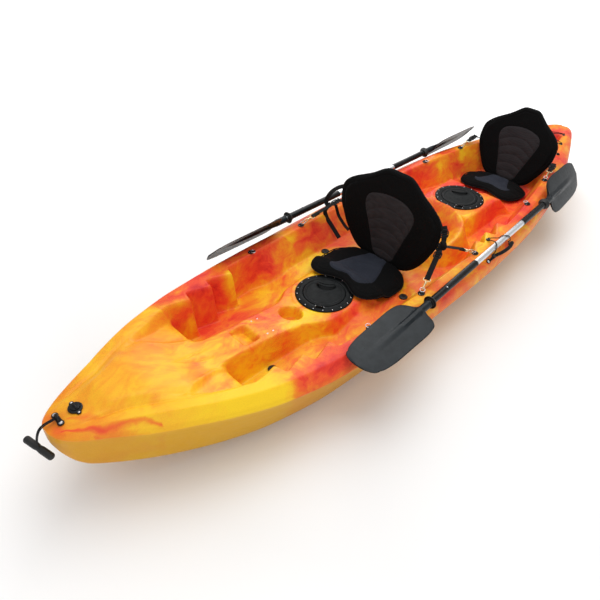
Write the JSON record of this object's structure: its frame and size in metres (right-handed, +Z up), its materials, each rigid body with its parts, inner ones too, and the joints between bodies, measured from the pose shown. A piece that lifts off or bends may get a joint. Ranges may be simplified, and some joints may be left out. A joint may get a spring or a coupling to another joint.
{
  "type": "tandem sit-on-top kayak",
  "caption": "Rotomoulded sit-on-top tandem kayak with two folding seats, hinged round deck hatches, foot braces, scupper plugs, side handles and stowed double-bladed paddles",
  "frame": {"origin": "on the flat of the keel, amidships, half way between bow and stern tips", "axes": "+Z up, hull along Y with the bow towards -Y, port towards +X"},
  "size_m": [1.0476, 3.7624, 0.6347],
  "materials": {
    "polyethylene": "satin rotomoulded, yellow, orange and red swirls",
    "black_nylon": "satin",
    "seat_fabric": "foam-backed neoprene",
    "webbing": "woven",
    "aluminium": "satin anodised",
    "stainless": "polished",
    "brass": "cast, bright",
    "rubber": "matt",
    "blade_plastic": "moulded, satin",
    "bungee": "braided over rubber"
  },
  "bodies": {
    "kayak": {"bow_pad_eye": "black_nylon", "deck_eye_port_1": "black_nylon", "deck_eye_port_2": "black_nylon", "deck_eye_port_3": "black_nylon", "deck_eye_port_4": "black_nylon", "deck_eye_port_5": "black_nylon", "deck_eye_starboard_1": "black_nylon", "deck_eye_starboard_2": "black_nylon", "deck_eye_starboard_3": "black_nylon", "deck_eye_starboard_4": "black_nylon", "deck_eye_starboard_5": "black_nylon", "drain_base": "black_nylon", "front_hatch_rim": "black_nylon", "front_port_aft_hook": "brass", "front_port_aft_strap": "webbing", "front_port_forward_hook": "brass", "front_port_forward_strap": "webbing", "front_seat_pad": "seat_fabric", "front_starboard_aft_hook": "brass", "front_starboard_aft_strap": "webbing", "front_starboard_forward_hook": "brass", "front_starboard_forward_strap": "webbing", "hull": "polyethylene", "paddle_bungee_port": "bungee", "paddle_bungee_starboard": "bungee", "rear_hatch_rim": "black_nylon", "rear_port_forward_hook": "brass", "rear_port_forward_strap": "webbing", "rear_seat_pad": "seat_fabric", "rear_starboard_forward_hook": "brass", "rear_starboard_forward_strap": "webbing"},
    "front_lid": {"front_hatch_lid": "black_nylon"},
    "rear_lid": {"rear_hatch_lid": "black_nylon"},
    "front_back": {"front_backrest": "seat_fabric"},
    "rear_back": {"rear_backrest": "seat_fabric"},
    "toggle": {"bow_toggle": "rubber", "bow_toggle_cord": "bungee"},
    "drain": {"drain_plug": "black_nylon"},
    "port_handle": {"side_handle_port": "webbing"},
    "port_paddle": {"paddle_shaft_port": "aluminium", "shaft_sleeve_port_front": "black_nylon", "shaft_sleeve_port_rear": "black_nylon", "paddle_blade_port_rear": "blade_plastic"},
    "port_front_blade": {"paddle_blade_port_front": "blade_plastic"},
    "port_button": {"paddle_button_port": "stainless"},
    "port_front_ring": {"drip_ring_port_front": "rubber"},
    "port_rear_ring": {"drip_ring_port_rear": "rubber"},
    "port_front_plug": {"scupper_plug_port_front": "rubber"},
    "port_seat_plug": {"scupper_plug_port_seat": "rubber"},
    "starboard_handle": {"side_handle_starboard": "webbing"},
    "starboard_paddle": {"paddle_shaft_starboard": "aluminium", "shaft_sleeve_starboard_front": "black_nylon", "shaft_sleeve_starboard_rear": "black_nylon", "paddle_blade_starboard_rear": "blade_plastic"},
    "starboard_front_blade": {"paddle_blade_starboard_front": "blade_plastic"},
    "starboard_button": {"paddle_button_starboard": "stainless"},
    "starboard_front_ring": {"drip_ring_starboard_front": "rubber"},
    "starboard_rear_ring": {"drip_ring_starboard_rear": "rubber"},
    "starboard_front_plug": {"scupper_plug_starboard_front": "rubber"},
    "starboard_seat_plug": {"scupper_plug_starboard_seat": "rubber"}
  },
  "joints": [
    {"name": "front_hatch_hinge", "type": "hinge", "parent": "kayak", "child": "front_lid", "pos_m": [0.05803, -0.64686, 0.2018], "axis": [0.848, 0.5299, 0], "range_deg": [0, 110]},
    {"name": "rear_hatch_hinge", "type": "hinge", "parent": "kayak", "child": "rear_lid", "pos_m": [0.05803, 0.46714, 0.2788], "axis": [0.848, 0.5299, 0], "range_deg": [0, 110]},
    {"name": "front_backrest_fold", "type": "hinge", "parent": "kayak", "child": "front_back", "pos_m": [0, -0.1455, 0.1985], "axis": [1, 0, 0], "range_deg": [0, 70], "deforming": ["front_port_aft_strap", "front_port_forward_strap", "front_starboard_aft_strap", "front_starboard_forward_strap"]},
    {"name": "rear_backrest_fold", "type": "hinge", "parent": "kayak", "child": "rear_back", "pos_m": [0, 1.0765, 0.213], "axis": [1, 0, 0], "range_deg": [0, 80], "deforming": ["rear_port_forward_strap", "rear_starboard_forward_strap"]},
    {"name": "bow_toggle_swing", "type": "hinge", "parent": "kayak", "child": "toggle", "pos_m": [0, -1.803, 0.384], "axis": [-1, 0, 0], "range_deg": [0, 50], "deforming": ["bow_toggle_cord"]},
    {"name": "drain_plug_turn", "type": "hinge", "parent": "kayak", "child": "drain", "pos_m": [0, -1.743, 0.385], "axis": [0, 0, 1], "range_deg": [0, 180]},
    {"name": "scupper_plug_port_front_pull", "type": "slide", "parent": "kayak", "child": "port_front_plug", "axis": [0, 0, 1], "range_m": [0, 0.05]},
    {"name": "scupper_plug_port_seat_pull", "type": "slide", "parent": "kayak", "child": "port_seat_plug", "axis": [0, 0, 1], "range_m": [0, 0.05]},
    {"name": "side_handle_port_swing", "type": "hinge", "parent": "kayak", "child": "port_handle", "pos_m": [0.44379, 0.22593, 0.28664], "axis": [0.0103, -0.9999, -0.0127], "range_deg": [-20, 20]},
    {"name": "paddle_port_lift", "type": "slide", "parent": "kayak", "child": "port_paddle", "axis": [0, 0, 1], "range_m": [0, 0.15], "deforming": ["paddle_bungee_port"]},
    {"name": "blade_port_feather", "type": "hinge", "parent": "port_paddle", "child": "port_front_blade", "pos_m": [0.449, -0.408, 0.3215], "axis": [-0.0385, 0.9991, 0.017], "range_deg": [0, 60]},
    {"name": "paddle_button_port_press", "type": "slide", "parent": "port_paddle", "child": "port_button", "axis": [-0.3544, 0.0023, -0.9351], "range_m": [0, 0.004], "stiffness_N_per_m": 400},
    {"name": "drip_ring_port_front_slide", "type": "slide", "parent": "port_paddle", "child": "port_front_ring", "axis": [-0.0385, 0.9991, 0.017], "range_m": [0, 0.09]},
    {"name": "drip_ring_port_rear_slide", "type": "slide", "parent": "port_paddle", "child": "port_rear_ring", "axis": [0.0385, -0.9991, -0.017], "range_m": [0, 0.12]},
    {"name": "scupper_plug_starboard_front_pull", "type": "slide", "parent": "kayak", "child": "starboard_front_plug", "axis": [0, 0, 1], "range_m": [0, 0.05]},
    {"name": "scupper_plug_starboard_seat_pull", "type": "slide", "parent": "kayak", "child": "starboard_seat_plug", "axis": [0, 0, 1], "range_m": [0, 0.05]},
    {"name": "side_handle_starboard_swing", "type": "hinge", "parent": "kayak", "child": "starboard_handle", "pos_m": [-0.44379, 0.22593, 0.28664], "axis": [0.0103, 0.9999, 0.0127], "range_deg": [-20, 20]},
    {"name": "paddle_starboard_lift", "type": "slide", "parent": "kayak", "child": "starboard_paddle", "axis": [0, 0, 1], "range_m": [0, 0.15], "deforming": ["paddle_bungee_starboard"]},
    {"name": "blade_starboard_feather", "type": "hinge", "parent": "starboard_paddle", "child": "starboard_front_blade", "pos_m": [-0.421, -0.398, 0.333], "axis": [0.0178, 0.9998, 0.0008], "range_deg": [0, 50]},
    {"name": "paddle_button_starboard_press", "type": "slide", "parent": "starboard_paddle", "child": "starboard_button", "axis": [0.3591, -0.0056, -0.9333], "range_m": [0, 0.004], "stiffness_N_per_m": 400},
    {"name": "drip_ring_starboard_front_slide", "type": "slide", "parent": "starboard_paddle", "child": "starboard_front_ring", "axis": [0.0178, 0.9998, 0.0008], "range_m": [0, 0.09]},
    {"name": "drip_ring_starboard_rear_slide", "type": "slide", "parent": "starboard_paddle", "child": "starboard_rear_ring", "axis": [-0.0178, -0.9998, -0.0008], "range_m": [0, 0.12]}
  ]
}
